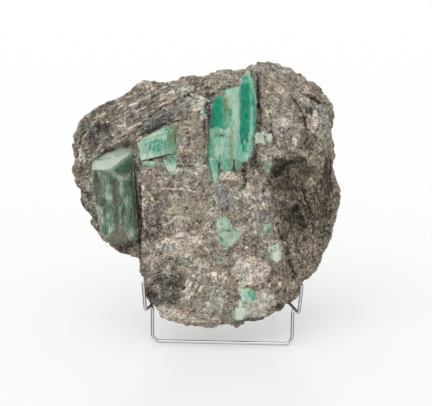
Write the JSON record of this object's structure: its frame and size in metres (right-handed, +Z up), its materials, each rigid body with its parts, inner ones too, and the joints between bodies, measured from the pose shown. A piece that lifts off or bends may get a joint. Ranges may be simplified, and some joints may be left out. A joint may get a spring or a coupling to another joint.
{
  "type": "mineral specimen on wire stand",
  "caption": "Rough block of dark mica schist with green emerald crystals set in its face, leaning on a rigid bent-wire display stand that holds it upright.",
  "frame": {"origin": "centre of the bounding box, at the surface the stand's feet rest on", "axes": "+Z up; the face with the crystals looks towards -Y and leans back 15 degrees; +X is to the viewer's right; +Y is the back and the shortest extent"},
  "size_m": [0.1751, 0.0818, 0.1744],
  "materials": {
    "schist": "rough, with fine glittering mica",
    "emerald_deep": "glassy, deep green, cracked and cloudy in places",
    "emerald_grey": "dull grey-green with dark inclusions",
    "emerald_soft": "cloudy mid green, satin",
    "emerald_pale": "pale mint, milky, satin",
    "chrome": "polished"
  },
  "bodies": {
    "root": {"matrix": "schist", "emerald_tall": "emerald_deep", "emerald_left": "emerald_grey", "emerald_middle": "emerald_soft", "emerald_middle_sliver": "emerald_soft", "emerald_middle_chips": "emerald_soft", "emerald_centre": "emerald_soft", "emerald_lower_right": "emerald_soft", "emerald_bottom_edge": "emerald_pale", "emerald_right_small": "emerald_soft", "emerald_right_pale": "emerald_pale", "beryl_pale": "emerald_pale", "cradle_wire": "chrome", "front_foot": "chrome", "rear_foot": "chrome"}
  },
  "joints": []
}
